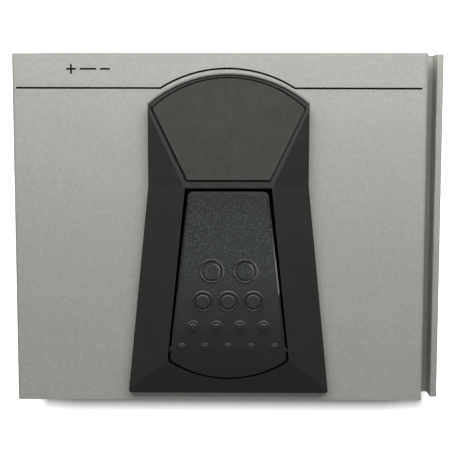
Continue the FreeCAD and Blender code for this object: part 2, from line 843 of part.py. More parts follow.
def ring(x, y, radius):
    """Raised ring round a disc's moat, with a top rounded like a bead."""
    inner = radius + moat_width
    z = treadle_z(y)
    inner_foot = Vector(x + inner, y, z)
    outer_foot = Vector(x + inner + ring_width, y, z)
    crest = Vector(x + inner + ring_width / 2, y, z + ring_height)
    root = Vector(0, 0, -mark_root)
    bead = Part.Arc(inner_foot, crest, outer_foot).toShape()
    wire = Part.Wire([bead] + lines([outer_foot, outer_foot + root, inner_foot + root, inner_foot]))
    return Part.Face(wire).revolve(Vector(x, y, z), upward, 360)


def stepped_disc(x, y, radius):
    """Low disc with a smaller and higher one on its middle."""
    low = disc(x, y, radius, step_height, step_chamfer)
    return low.fuse(disc(x, y, radius * step_share, disc_height, step_chamfer))


def pusher_tip():
    """Centre of the round nose that rests on the switch's lever."""
    angle = math.radians(lever_angle)
    off = pusher_radius + lever_thickness / 2 + pusher_rest_gap
    return (lever_y + pusher_reach * math.cos(angle) - off * math.sin(angle),
            lever_z + pusher_reach * math.sin(angle) + off * math.cos(angle))


def pusher():
    y, z = pusher_tip()
    nose = rod(pusher_radius, pusher_width, -pusher_width / 2, y, z, across)
    rib = box(-pusher_width / 2, pusher_width / 2, y - pusher_radius, y + pusher_radius, z,
              treadle_under + mark_root)
    return rib.fuse(nose)


def hinge_boss(side):
    """Round boss inside one flank, kept within the middle of the treadle's walls."""
    inner = flank_x(hinge_y, -treadle_wall, treadle_halves) - hinge_boss_length
    start = inner if side > 0 else -inner - treadle_front_half
    boss = rod(hinge_boss_radius, treadle_front_half, start, hinge_y, hinge_z, across)
    half_wall = treadle_wall / 2
    outline = wedge(-half_wall, -half_wall, -half_wall, treadle_halves)
    room = prism(outline, hinge_z - hinge_boss_radius, treadle_top)
    return boss.common(room)


def treadle():
    body = treadle_shell()
    for x, y, radius in row_places(disc_rows):
        moat = tube(radius + moat_width, radius, moat_depth + disc_height, x, y, treadle_z(y) - moat_depth)
        body = body.fuse(ring(x, y, radius)).cut(moat)
        body = body.fuse(disc(x, y, radius, disc_height, disc_chamfer))
    for x, y, radius in row_places(step_rows):
        body = body.fuse(stepped_disc(x, y, radius))
    body = body.fuse(pusher())
    body = body.fuse(spring_boss(treadle_under - spring_boss_height))
    post_low = well_top_of_floor + stop_height + swing_drop(stop_y + stop_post_radius) + stop_rest_gap
    hook_top = body_top - hook_below_plate
    for side in (-1, 1):
        body = body.fuse(hinge_boss(side))
        body = body.fuse(rod(stop_post_radius, treadle_under + mark_root - post_low, side * stop_x, stop_y,
                             post_low))
        centre = side * hook_centre
        body = body.fuse(box(centre - hook_width / 2, centre + hook_width / 2,
                             treadle_rear_y - treadle_wall / 2, treadle_rear_y + hook_reach,
                             hook_top - hook_thickness, hook_top))
    reach = 2 * treadle_front_half
    body = body.cut(rod(hinge_pin_radius + hinge_clearance, 2 * reach, -reach, hinge_y, hinge_z, across))
    return body.removeSplitter()


def spring_point(turn):
    low = well_top_of_floor + spring_seat_gap + spring_wire / 2
    high = treadle_under - spring_seat_gap - spring_wire / 2
    angle = 2 * math.pi * turn
    return Vector(spring_mean_radius * math.cos(angle), spring_y + spring_mean_radius * math.sin(angle),
                  low + (high - low) * turn / spring_turns)


def return_spring():
    """Round wire wound along quarter turns, each an arc through three points of the helix."""
    quarter = 0.25
    arcs = []
    for step in range(4 * spring_turns):
        start = step * quarter
        points = [spring_point(start + part * quarter) for part in (0, 0.5, 1)]
        arcs.append(Part.Arc(*points).toShape())
    path = Part.Wire(arcs)
    tangent = arcs[0].tangentAt(arcs[0].FirstParameter)
    section = Part.Wire(Part.Circle(spring_point(0), tangent, spring_wire / 2).toShape())
    wire = path.makePipeShell([section], True, False)
    pitch = spring_point(1).z - spring_point(0).z
    print("spring volume %.2f of %.2f" % (wire.Volume, math.pi * spring_wire ** 2 / 4 * path.Length))
    print("spring gap between turns %.2f" % (pitch - spring_wire))
    return wire


def stop_bumpers():
    head = rod(stop_radius, stop_height, 0, 0, 0)
    stem = rod(stop_stem - stop_stem_clearance, well_floor, 0, 0, -well_floor)
    barb = rod(stop_barb_radius, stop_barb_height, 0, 0, -well_floor - stop_barb_height)
    bumper = head.fuse(stem).fuse(barb)
    return Part.makeCompound([place(bumper, side * stop_x, stop_y, well_top_of_floor) for side in (-1, 1)])


def lead_slot(x, y, half_x, half_y):
    """Slot through the board for a lead of the given half sizes."""
    return box(x - half_x - lead_gap, x + half_x + lead_gap, y - half_y - lead_gap, y + half_y + lead_gap,
               board_bottom, board_top)


def snap_lead_places():
    middle = (snap_front_y + snap_rear_y) / 2
    return [middle + step * snap_lead_pitch for step in (-1, 0, 1)]


def slide_lead_places():
    return [slide_x + step * slide_lead_pitch for step in (-1, 0, 1)]


def tip_leg():
    """Middle and half width along Y of the tip contact's leg."""
    start = jack_front_y + jack_end_wall + tip_contact_start
    return start + tip_contact_length - contact_width / 2, contact_width / 2


def circuit_board():
    board = box(board_left, board_right, board_front, board_rear, board_bottom, board_top)
    corners = [Vector(x, y, 0) for x in (board_left, board_right) for y in (board_front, board_rear)]
    board = board.makeFillet(board_corner, edges_at(board, upward, corners))
    for x, y in board_holes:
        board = board.cut(rod(m25_passage, board_thickness, x, y, board_bottom))
    for y in snap_lead_places():
        board = board.cut(lead_slot(0, y, snap_lead_width / 2, snap_lead_thickness / 2))
    slide_lead_y = slide_back_y - slide_lead_reach + slide_lead_thickness / 2
    for x in slide_lead_places():
        board = board.cut(lead_slot(x, slide_lead_y, slide_lead_width / 2, slide_lead_thickness / 2))
    leg_y, leg_half = tip_leg()
    tip_x = jack_x + tip_contact_offset + contact_thickness / 2
    board = board.cut(lead_slot(tip_x, leg_y, contact_thickness / 2, leg_half))
    return board.cut(lead_slot(jack_x, sleeve_y + contact_thickness / 2, contact_width / 2,
                               contact_thickness / 2))


def board_standoffs():
    post = rod(standoff_radius, board_lift, 0, 0, base_top)
    neck = rod(standoff_neck, base_thickness, 0, 0, foot_height)
    spacer = post.fuse(neck).cut(rod(m25_hole, base_thickness + board_lift, 0, 0, foot_height))
    return Part.makeCompound([place(spacer, x, y, 0) for x, y in board_holes])


def board_screws():
    pattern = screw(m25_head, m25_head_height, m25_shank, board_screw_length)
    return Part.makeCompound([place(pattern, x, y, board_top) for x, y in board_holes])


def plunger_place():
    """Middle of the plunger along Y and the level of its top at rest, just under the lever."""
    y = lever_y + plunger_reach
    angle = math.radians(lever_angle)
    lever_under = (plunger_reach - plunger_length / 2) * math.tan(angle) - lever_thickness / 2 / math.cos(angle)
    return y, lever_z + lever_under - plunger_rest_gap


def microswitch_case():
    half = snap_width / 2
    case = box(-half, half, snap_front_y, snap_rear_y, board_top, snap_top)
    cover_top = lever_z + lever_bead + lever_bead_gap + lever_pivot_cover
    case = case.fuse(box(-half, half, snap_front_y, lever_y + lever_pivot_mouth, snap_top, cover_top))
    bore_half = lever_width / 2 + lever_bead_gap
    case = case.cut(rod(lever_bead + lever_bead_gap, 2 * bore_half, -bore_half, lever_y, lever_z, across))
    y, top = plunger_place()
    x_half = plunger_width / 2 + plunger_gap
    y_half = plunger_length / 2 + plunger_gap
    bottom = top - plunger_height - plunger_travel - plunger_gap
    return case.cut(box(-x_half, x_half, y - y_half, y + y_half, bottom, snap_top)).removeSplitter()


def microswitch_plunger():
    y, top = plunger_place()
    x_half = plunger_width / 2
    return box(-x_half, x_half, y - plunger_length / 2, y + plunger_length / 2, top - plunger_height, top)


def microswitch_lever():
    sheet = box(-lever_width / 2, lever_width / 2, 0, lever_length, -lever_thickness / 2, lever_thickness / 2)
    lever = sheet.fuse(rod(lever_bead, lever_width, -lever_width / 2, 0, 0, across))
    lever.Placement = FreeCAD.Placement(Vector(0, lever_y, lever_z), FreeCAD.Rotation(across, lever_angle))
    return lever


def microswitch_leads():
    half_x = snap_lead_width / 2
    half_y = snap_lead_thickness / 2
    return Part.makeCompound([box(-half_x, half_x, y - half_y, y + half_y, lead_bottom, board_top)
                              for y in snap_lead_places()])


def jack_body():
    half = jack_width / 2
    body = box(jack_x - half, jack_x + half, jack_front_y, rear_panel_inner, board_top,
               board_top + jack_height)
    upper = [Vector(jack_x + side * half, 0, board_top + jack_height) for side in (-1, 1)]
    body = body.makeFillet(jack_edge_radius, edges_at(body, rearward, upper))
    chamber_y = jack_front_y + jack_end_wall
    body = body.cut(rod(jack_chamber, jack_length, jack_x, chamber_y, jack_z, rearward))
    seat_y = sleeve_y - contact_gap
    body = body.cut(rod(bushing_radius + bushing_clearance, jack_length, jack_x, seat_y, jack_z, rearward))
    start = chamber_y + tip_contact_start - contact_gap
    end = chamber_y + tip_contact_start + tip_contact_length + contact_gap
    contact_x = jack_x + tip_contact_offset
    side_slot = box(jack_x, contact_x + contact_thickness + contact_gap, start, end,
                    jack_z - contact_width / 2 - contact_gap, jack_z + contact_width / 2 + contact_gap)
    leg_y, leg_half = tip_leg()
    leg_slot = box(contact_x - contact_gap, contact_x + contact_thickness + contact_gap,
                   leg_y - leg_half - contact_gap, leg_y + leg_half + contact_gap, board_top, jack_z)
    tail_slot = box(jack_x - contact_width / 2 - contact_gap, jack_x + contact_width / 2 + contact_gap,
                    seat_y, sleeve_y + contact_thickness + contact_gap, board_top, jack_z)
    return body.cut(side_slot).cut(leg_slot).cut(tail_slot)


def jack_bushing():
    length = bushing_tip - bushing_inner
    bushing = rod(bushing_radius, length, jack_x, bushing_inner, jack_z, rearward)
    ends = [edge for edge in bushing.Edges if edge.BoundBox.YMin > bushing_tip - bushing_chamfer]
    bushing = bushing.makeChamfer(bushing_chamfer, ends)
    return bushing.cut(rod(bushing_bore, length, jack_x, bushing_inner, jack_z, rearward))


def jack_washer():
    return tube(washer_radius, bushing_radius + bushing_clearance, washer_thickness, jack_x,
                rear_panel_outer, jack_z, rearward)


def jack_nut():
    corner = nut_across_flats / 2 / math.cos(math.radians(30))
    y = rear_panel_outer + washer_thickness
    points = [Vector(jack_x + corner * math.cos(math.radians(60 * step)), y,
                     jack_z + corner * math.sin(math.radians(60 * step))) for step in range(7)]
    nut = Part.Face(Part.Wire(lines(points))).extrude(Vector(0, nut_thickness, 0))
    return nut.cut(rod(bushing_radius + bushing_clearance, nut_thickness, jack_x, y, jack_z, rearward))


def jack_tip_contact():
    x = jack_x + tip_contact_offset
    start = jack_front_y + jack_end_wall + tip_contact_start
    half = contact_width / 2
    leaf = box(x, x + contact_thickness, start, start + tip_contact_length, jack_z - half, jack_z + half)
    leg_y, leg_half = tip_leg()
    leg = box(x, x + contact_thickness, leg_y - leg_half, leg_y + leg_half, lead_bottom, jack_z)
    detent = rod(tip_detent_radius, contact_width, x, start + tip_detent_place, jack_z - half)
    detent = detent.common(box(x - tip_detent_radius, x, start, start + tip_contact_length,
                               jack_z - half, jack_z + half))
    return leaf.fuse(leg).fuse(detent).removeSplitter()


def jack_sleeve_contact():
    ring = tube(sleeve_ring, sleeve_ring_bore, contact_thickness, jack_x, sleeve_y, jack_z, rearward)
    middle = (sleeve_ring + sleeve_ring_bore) / 2
    tail = box(jack_x - contact_width / 2, jack_x + contact_width / 2, sleeve_y, sleeve_y + contact_thickness,
               lead_bottom, jack_z - middle)
    bore = rod(sleeve_ring_bore, contact_thickness, jack_x, sleeve_y, jack_z, rearward)
    return ring.fuse(tail).cut(bore)


def polarity_frame():
    half_x = slide_width / 2
    half_z = slide_height / 2
    shell = box(slide_x - half_x, slide_x + half_x, slide_front, slide_rear, slide_z - half_z,
                slide_z + half_z)
    hollow = box(slide_x - half_x + slide_metal, slide_x + half_x - slide_metal, slide_front,
                 slide_rear - slide_metal, slide_z - half_z + slide_metal, slide_z + half_z - slide_metal)
    slot_half = (knob_width + slide_travel) / 2 + slide_clearance
    slot = box(slide_x - slot_half, slide_x + slot_half, slide_rear - slide_metal, slide_rear,
               slide_z - knob_height / 2 - slide_clearance, slide_z + knob_height / 2 + slide_clearance)
    return shell.cut(hollow).cut(slot)


def polarity_base():
    half_x = slide_width / 2
    return box(slide_x - half_x, slide_x + half_x, slide_back_y, slide_front, board_top,
               board_top + slide_height)


def polarity_slider():
    x = slide_x - slide_travel / 2
    half_z = slide_height / 2 - slide_metal - slide_clearance
    block = box(x - slide_block_width / 2, x + slide_block_width / 2, slide_front + slide_clearance,
                slide_rear - slide_metal - slide_clearance, slide_z - half_z, slide_z + half_z)
    tip = body_rear - knob_tip_gap
    knob = box(x - knob_width / 2, x + knob_width / 2, slide_front + slide_clearance, tip,
               slide_z - knob_height / 2, slide_z + knob_height / 2)
    end = [edge for edge in knob.Edges if edge.BoundBox.YMin > tip - knob_chamfer]
    return block.fuse(knob.makeChamfer(knob_chamfer, end)).removeSplitter()


def polarity_leads():
    y = slide_back_y - slide_lead_reach
    leads = []
    for x in slide_lead_places():
        half = slide_lead_width / 2
        arm = box(x - half, x + half, y, slide_back_y, slide_z - slide_lead_thickness / 2,
                  slide_z + slide_lead_thickness / 2)
        leg = box(x - half, x + half, y, y + slide_lead_thickness, lead_bottom,
                  slide_z + slide_lead_thickness / 2)
        leads.append(arm.fuse(leg).removeSplitter())
    return Part.makeCompound(leads)


os.makedirs("parts", exist_ok=True)
save("chassis_shell", chassis_shell())
save("front_panel", panel(front_panel_outer, front_panel_inner))
save("rear_panel", rear_panel())
save("panel_screws", panel_screws())
save("base_plate", base_plate())
save("base_screws", base_screws())
save("rubber_feet", rubber_feet())
save("pedal_frame", pedal_frame())
save("frame_screws", frame_screws())
save("fan_inlay", fan_inlay())
save("treadle", treadle())
save("hinge_pin", hinge_pin())
save("return_spring", return_spring())
save("stop_bumpers", stop_bumpers())
save("circuit_board", circuit_board())
save("board_standoffs", board_standoffs())
save("board_screws", board_screws())
save("microswitch_case", microswitch_case())
save("microswitch_plunger", microswitch_plunger())
save("microswitch_lever", microswitch_lever())
save("microswitch_leads", microswitch_leads())
save("jack_body", jack_body())
save("jack_bushing", jack_bushing())
save("jack_washer", jack_washer())
save("jack_nut", jack_nut())
save("jack_tip_contact", jack_tip_contact())
save("jack_sleeve_contact", jack_sleeve_contact())
save("polarity_frame", polarity_frame())
save("polarity_base", polarity_base())
save("polarity_slider", polarity_slider())
save("polarity_leads", polarity_leads())
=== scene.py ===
import math

import bpy
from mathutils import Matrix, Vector


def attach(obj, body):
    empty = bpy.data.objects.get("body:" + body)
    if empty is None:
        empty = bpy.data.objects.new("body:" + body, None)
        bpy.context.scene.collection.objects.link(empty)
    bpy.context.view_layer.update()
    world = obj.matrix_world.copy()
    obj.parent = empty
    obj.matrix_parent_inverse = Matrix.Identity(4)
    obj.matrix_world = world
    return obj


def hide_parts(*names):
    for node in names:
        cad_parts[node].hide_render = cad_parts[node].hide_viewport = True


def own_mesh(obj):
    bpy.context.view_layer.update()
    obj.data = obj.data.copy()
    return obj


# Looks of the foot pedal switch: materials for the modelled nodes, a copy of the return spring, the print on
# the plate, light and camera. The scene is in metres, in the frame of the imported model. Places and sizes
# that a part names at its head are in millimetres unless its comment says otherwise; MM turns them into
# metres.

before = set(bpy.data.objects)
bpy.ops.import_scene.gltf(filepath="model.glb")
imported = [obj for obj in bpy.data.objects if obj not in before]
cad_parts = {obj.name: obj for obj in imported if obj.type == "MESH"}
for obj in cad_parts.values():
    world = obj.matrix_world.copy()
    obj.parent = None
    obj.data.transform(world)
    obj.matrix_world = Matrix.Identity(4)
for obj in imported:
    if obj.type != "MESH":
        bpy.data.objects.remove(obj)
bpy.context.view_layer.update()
MM = 0.001
WHITE = (1.0, 1.0, 1.0)
ACROSS_AXIS = (1.0, 0.0, 0.0)
LENGTH_AXIS = (0.0, 1.0, 0.0)
UP_AXIS = (0.0, 0.0, 1.0)


def rgb(red, green, blue):
    """Linear colour from the 0 to 255 values that a picture shows."""
    linear = []
    for value in (red, green, blue):
        level = value / 255
        linear.append(level / 12.92 if level <= 0.04045 else ((level + 0.055) / 1.055) ** 2.4)
    return tuple(linear)


def math_node(nodes, links, operation, *values):
    """Math node whose inputs are numbers or the outputs of other nodes."""
    node = nodes.new("ShaderNodeMath")
    node.operation = operation
    for socket, value in zip(node.inputs, values):
        if isinstance(value, (int, float)):
            socket.default_value = value
        else:
            links.new(value, socket)
    return node.outputs["Value"]


# Surfaces
NOISE_LOW = 0.3
NOISE_HIGH = 0.7
BAND_FADE = 0.03
# Colour of the painted shade in the groove between the inlay and the frame
GROOVE_SHADE = rgb(10, 10, 10)
GROOVE_SIDE = (-0.8954, -0.4453, 0.0)
GROOVE_SIDE_BAND = (3.12, 3.7)
GROOVE_SIDE_REACH = (11.9, 30.0)
GROOVE_FRONT_BAND = (11.58, 12.1)
GROOVE_FRONT_HALF = 9.9


class Surface:
    """A material under construction, with the few node patterns that the surfaces share."""

    def __init__(self, name, color, roughness, metallic=0.0):
        self.material = bpy.data.materials.new(name)
        self.material.use_nodes = True
        self.nodes = self.material.node_tree.nodes
        self.links = self.material.node_tree.links
        self.shader = self.nodes["Principled BSDF"]
        self.color = color
        self.set("Roughness", roughness)
        self.set("Metallic", metallic)
        self.set("Base Color", color + (1.0,))
        self.tone = None
        self.height = None
        place = self.nodes.new("ShaderNodeTexCoord")
        self.place = place.outputs["Object"]

    def set(self, socket, value):
        self.shader.inputs[socket].default_value = value

    def math(self, operation, *values):
        return math_node(self.nodes, self.links, operation, *values)

    def parts(self, vector):
        """X, Y and Z of a vector."""
        node = self.nodes.new("ShaderNodeSeparateXYZ")
        self.links.new(vector, node.inputs["Vector"])
        return node.outputs

    def facing(self):
        """X, Y and Z of the direction that the surface faces."""
        return self.parts(self.nodes.new("ShaderNodeNewGeometry").outputs["Normal"])

    def noise(self, size_mm, detail, stretch=None):
        """Soft noise whose patches are about the given size, and longer where stretch is small."""
        place = self.place
        if stretch is not None:
            mapping = self.nodes.new("ShaderNodeMapping")
            mapping.inputs["Scale"].default_value = stretch
            self.links.new(self.place, mapping.inputs["Vector"])
            place = mapping.outputs["Vector"]
        node = self.nodes.new("ShaderNodeTexNoise")
        node.inputs["Scale"].default_value = 1 / (size_mm * MM)
        node.inputs["Detail"].default_value = detail
        self.links.new(place, node.inputs["Vector"])
        return node.outputs["Fac"]

    def scattered(self, size_mm):
        """Outputs of a field of small cells round scattered points."""
        node = self.nodes.new("ShaderNodeTexVoronoi")
        node.inputs["Scale"].default_value = 1 / (size_mm * MM)
        self.links.new(self.place, node.inputs["Vector"])
        return node.outputs

    def cells(self, size_mm):
        """One random level for each small cell."""
        return self.scattered(size_mm)["Color"]

    def spots(self, size_mm):
        """Distance from the middle of the nearest cell."""
        return self.scattered(size_mm)["Distance"]

    def rings(self, pitch_mm, axis):
        """Even waves along one axis, such as a thread shows."""
        waves_per_unit = 20 / (2 * math.pi)
        node = self.nodes.new("ShaderNodeTexWave")
        node.bands_direction = axis
        node.inputs["Scale"].default_value = 1 / (waves_per_unit * pitch_mm * MM)
        self.links.new(self.place, node.inputs["Vector"])
        return node.outputs["Fac"]

    def span(self, value, low, high, at_low, at_high):
        """Maps a value from low and high to two new levels, and holds it outside them."""
        node = self.nodes.new("ShaderNodeMapRange")
        node.inputs["From Min"].default_value = low
        node.inputs["From Max"].default_value = high
        node.inputs["To Min"].default_value = at_low
        node.inputs["To Max"].default_value = at_high
        self.links.new(value, node.inputs["Value"])
        return node.outputs["Result"]

    def ramp(self, place, low_mm, high_mm, at_low=0.0, at_high=1.0):
        """Changes from one level to another between two places along an axis."""
        return self.span(place, low_mm * MM, high_mm * MM, at_low, at_high)

    def band(self, direction, low_mm, high_mm):
        """One between two planes that lie across a direction, and nought outside them."""
        node = self.nodes.new("ShaderNodeVectorMath")
        node.operation = "DOT_PRODUCT"
        node.inputs[1].default_value = direction
        self.links.new(self.place, node.inputs[0])
        along = node.outputs["Value"]
        rise = self.ramp(along, low_mm - BAND_FADE, low_mm)
        fall = self.ramp(along, high_mm, high_mm + BAND_FADE, 1.0, 0.0)
        return self.meet(rise, fall)

    def meet(self, *masks):
        """Product of masks, which is one where all of them are one."""
        mask = masks[0]
        for other in masks[1:]:
            mask = self.math("MULTIPLY", mask, other)
        return mask

    def shade(self, factor):
        """Multiplies the colour by a factor that varies over the surface."""
        self.tone = factor if self.tone is None else self.math("MULTIPLY", self.tone, factor)

    def clouds(self, size_mm, detail, dark, light, stretch=None):
        """Darker and lighter soft patches."""
        noise = self.noise(size_mm, detail, stretch)
        self.shade(self.span(noise, NOISE_LOW, NOISE_HIGH, dark, light))

    def grain(self, size_mm, dark, light):
        """A darker or lighter tone for each small cell."""
        self.shade(self.span(self.cells(size_mm), 0.0, 1.0, dark, light))

    def tint(self, mask, color):
        """Blends the colour towards another one as the mask runs from nought to one."""
        blend = self.nodes.new("ShaderNodeMix")
        blend.data_type = "RGBA"
        socket = self.shader.inputs["Base Color"]
        if socket.is_linked:
            self.links.new(socket.links[0].from_socket, blend.inputs["A"])
        else:
            blend.inputs["A"].default_value = self.color + (1.0,)
        blend.inputs["B"].default_value = color + (1.0,)
        self.links.new(mask, blend.inputs["Factor"])
        self.links.new(blend.outputs["Result"], socket)

    def groove(self):
        """Painted shade in the groove in front of the inlay and along its left side."""
        side = self.meet(self.band(GROOVE_SIDE, *GROOVE_SIDE_BAND),
                         self.band(LENGTH_AXIS, *GROOVE_SIDE_REACH))
        front = self.meet(self.band(LENGTH_AXIS, *GROOVE_FRONT_BAND),
                          self.band(ACROSS_AXIS, -GROOVE_FRONT_HALF, GROOVE_FRONT_HALF))
        self.tint(side, GROOVE_SHADE)
        self.tint(front, GROOVE_SHADE)

    def uneven_gloss(self, size_mm, detail, low, high, stretch=None):
        """Roughness that changes in soft patches between two levels."""
        noise = self.noise(size_mm, detail, stretch)
        self.links.new(self.span(noise, NOISE_LOW, NOISE_HIGH, low, high), self.shader.inputs["Roughness"])

    def relief(self, value, depth_mm):
        """Adds a pattern to the bump, with the given height."""
        node = self.nodes.new("ShaderNodeBump")
        node.inputs["Distance"].default_value = depth_mm * MM
        node.inputs["Strength"].default_value = 1.0
        self.links.new(value, node.inputs["Height"])
        if self.height is not None:
            self.links.new(self.height, node.inputs["Normal"])
        self.height = node.outputs["Normal"]

    def done(self):
        """Joins colour, tone and bump to the shader and gives the material."""
        if self.tone is not None:
            scale = self.nodes.new("ShaderNodeVectorMath")
            scale.operation = "SCALE"
            socket = self.shader.inputs["Base Color"]
            if socket.is_linked:
                self.links.new(socket.links[0].from_socket, scale.inputs[0])
            else:
                scale.inputs[0].default_value = self.color
            self.links.new(self.tone, scale.inputs["Scale"])
            self.links.new(scale.outputs["Vector"], socket)
        if self.height is not None:
            self.links.new(self.height, self.shader.inputs["Normal"])
        return self.material


# Painted shell, with painted shade in the gap in which the frame's rear arc is seated
SEAT_HALF = 19.5
SEAT_REACH = (25.0, 38.0)
SEAT_LEVELS = (19.3, 20.34)
SEAT_SHADE = rgb(12, 12, 12)


def silver_paint():
    """Paint with fine metal flakes and faint cloudy patches."""
    surface = Surface("silver_paint", rgb(179, 179, 173), roughness=0.5, metallic=0.35)
    surface.clouds(size_mm=14, detail=3, dark=0.98, light=1.02)
    surface.clouds(size_mm=1.2, detail=3, dark=0.96, light=1.04)
    surface.grain(size_mm=0.14, dark=0.86, light=1.14)
    surface.uneven_gloss(size_mm=0.5, detail=2, low=0.44, high=0.56)
    surface.relief(surface.noise(size_mm=0.25, detail=2), depth_mm=0.006)
    # Painted shade: near black on the silver in the gap behind the frame's rear arc
    seat = surface.meet(surface.band(ACROSS_AXIS, -SEAT_HALF, SEAT_HALF),
                        surface.band(LENGTH_AXIS, *SEAT_REACH),
                        surface.band(UP_AXIS, *SEAT_LEVELS))
    surface.tint(seat, SEAT_SHADE)
    return surface.done()


# Moulded plastics
MOULDED_CONTRAST = 0.12
MOULDED_GLOSS_SPREAD = 0.06


def moulded_surface(name, color, roughness, grain_mm=0.35, depth_mm=0.012):
    """Moulded plastic with a fine grain, slightly uneven in colour and gloss."""
    surface = Surface(name, color, roughness)
    surface.clouds(size_mm=9, detail=3, dark=1 - MOULDED_CONTRAST / 2, light=1 + MOULDED_CONTRAST / 2)
    surface.grain(size_mm=grain_mm / 2, dark=1 - MOULDED_CONTRAST, light=1 + MOULDED_CONTRAST)
    surface.uneven_gloss(size_mm=1.5, detail=3, low=roughness - MOULDED_GLOSS_SPREAD,
                         high=roughness + MOULDED_GLOSS_SPREAD)
    surface.relief(surface.spots(grain_mm), depth_mm)
    return surface


def moulded(*values):
    return moulded_surface(*values).done()


def frame_plastic():
    """Moulded black with painted shade in the groove round the inlay."""
    surface = moulded_surface("frame_plastic", rgb(36, 36, 34), roughness=0.5)
    surface.groove()
    return surface.done()


# Treadle: places along Y, one height, and bounds of the direction that a part of the surface faces. Where
# four numbers stand together, the last two are the levels at the two bounds.
GRAIN_FRONT = -22.0
GRAIN_REAR = -10.0
GRAIN_LEFT_IN_FRONT = 0.5
GLINT_CELLS = (0.7, 1.0)
GLINT_COLOR = rgb(98, 101, 103)
EDGE_FACING_X = (0.3, 0.55)
EDGE_REAR = (-8.0, 1.0)
EDGE_FRONT = (-15.0, -14.0)
EDGE_HIGHLIGHT_COLOR = rgb(132, 132, 132)
RIM_HEIGHT = (26.41, 26.45)
RIM_FACING_Y = (0.15, 0.4)
RIM_ROWS = (-10.0, -9.0)
RIM_FRONT_ROW = (-25.0, -24.0)
RIM_HIGHLIGHT_FADE = (-27.0, -13.0, 0.4, 0.8)
RIM_HIGHLIGHT_COLOR = rgb(98, 100, 103)
REAR_BEVEL = (8.4, 8.6)
REAR_BEVEL_FACING_Y = (0.12, 0.35)
REAR_BEVEL_SHADE = rgb(30, 30, 30)
REAR_BEVEL_MATT = 0.3
MATT_REAR = (3.0, 10.5, 0.0, 0.2)
TILTED_FACING_Z = (0.8, 0.97, 0.1, 0.0)
TILTED_ROWS = (-20.0, -19.0)
TREADLE_GLOSS = (0.13, 0.19)


def treadle_plastic():
    """Black grained plastic, half matt at the rear, smooth in front, with painted glints, highlights and
    shade.
    """
    surface = Surface("treadle_plastic", rgb(45, 45, 45), roughness=0.16)
    place = surface.parts(surface.place)
    along = place["Y"]
    facing = surface.facing()
    grainy = surface.ramp(along, GRAIN_FRONT, GRAIN_REAR, GRAIN_LEFT_IN_FRONT, 1.0)
    surface.clouds(size_mm=12, detail=3, dark=0.95, light=1.05)
    surface.grain(size_mm=0.19, dark=0.75, light=1.25)
    # Painted glints: light specks scattered over the grainy part stand in for light glittering on the grain
    painted_glints = surface.meet(surface.cells(size_mm=0.17), grainy)
    surface.tint(surface.span(painted_glints, *GLINT_CELLS, 0.0, 1.0), GLINT_COLOR)

    # Painted highlight: a light line along the rounded right side of the top, over the middle of the treadle
    edge_highlight = surface.meet(surface.span(facing["X"], *EDGE_FACING_X, 0.0, 1.0),
                        surface.ramp(along, *EDGE_REAR, 1.0, 0.0),
                        surface.ramp(along, *EDGE_FRONT))
    surface.tint(edge_highlight, EDGE_HIGHLIGHT_COLOR)
    # Painted highlights: the rear-facing flanks of the raised marks turn lighter, more so towards the rear
    # rows
    raised = surface.math("MAXIMUM", surface.ramp(place["Z"], *RIM_HEIGHT),
                          surface.ramp(along, *RIM_FRONT_ROW, 1.0, 0.0))
    rim_highlight = surface.meet(surface.span(facing["Y"], *RIM_FACING_Y, 0.0, 1.0), raised,
                       surface.ramp(along, *RIM_ROWS, 1.0, 0.0),
                       surface.ramp(along, *RIM_HIGHLIGHT_FADE))
    surface.tint(rim_highlight, RIM_HIGHLIGHT_COLOR)
    # Painted shade: the rear-facing bevel at the back of the treadle is darkened to dim its highlight
    bevel = surface.meet(surface.span(facing["Y"], *REAR_BEVEL_FACING_Y, 0.0, 1.0),
                         surface.ramp(along, *REAR_BEVEL))
    surface.tint(bevel, REAR_BEVEL_SHADE)

    matt = surface.ramp(along, *MATT_REAR)
    tilted = surface.span(facing["Z"], *TILTED_FACING_Z)
    matt = surface.math("MULTIPLY_ADD", tilted, surface.ramp(along, *TILTED_ROWS), matt)
    matt = surface.math("MULTIPLY_ADD", bevel, REAR_BEVEL_MATT, matt)
    gloss = surface.span(surface.noise(size_mm=0.5, detail=3), NOISE_LOW, NOISE_HIGH, *TREADLE_GLOSS)
    surface.links.new(surface.math("ADD", gloss, matt), surface.shader.inputs["Roughness"])
    surface.set("Specular IOR Level", 0.4)
    surface.relief(surface.meet(surface.spots(size_mm=0.25), grainy), depth_mm=0.02)
    return surface.done()


# Rubbers, coats, metals and the board
STREAKS = (1.0, 0.25, 1.0)
WEAVE = (1.0, 0.2, 1.0)
LENGTHWISE = (1.0, 0.05, 1.0)
ACROSS = (0.05, 1.0, 1.0)
COPPER_PLANE = 5.0


def grip_rubber():
    """Matt grip sheet with faint streaks and mottling."""
    surface = Surface("grip_rubber", rgb(56, 56, 52), roughness=0.75)
    surface.clouds(size_mm=6, detail=4, dark=0.9, light=1.1)
    surface.clouds(size_mm=0.8, detail=2, dark=0.93, light=1.07, stretch=STREAKS)
    surface.grain(size_mm=0.25, dark=0.9, light=1.1)
    surface.relief(surface.noise(size_mm=0.3, detail=3), depth_mm=0.03)
    # Painted shade on the inlay's borders along the groove
    surface.groove()
    surface.set("Specular IOR Level", 0.3)
    return surface.done()


def rubber(name, color):
    """Matt rubber, slightly mottled."""
    surface = Surface(name, color, roughness=0.75)
    surface.clouds(size_mm=2.5, detail=4, dark=0.85, light=1.15)
    surface.uneven_gloss(size_mm=0.9, detail=3, low=0.65, high=0.85)
    surface.relief(surface.noise(size_mm=0.25, detail=3), depth_mm=0.03)
    return surface.done()


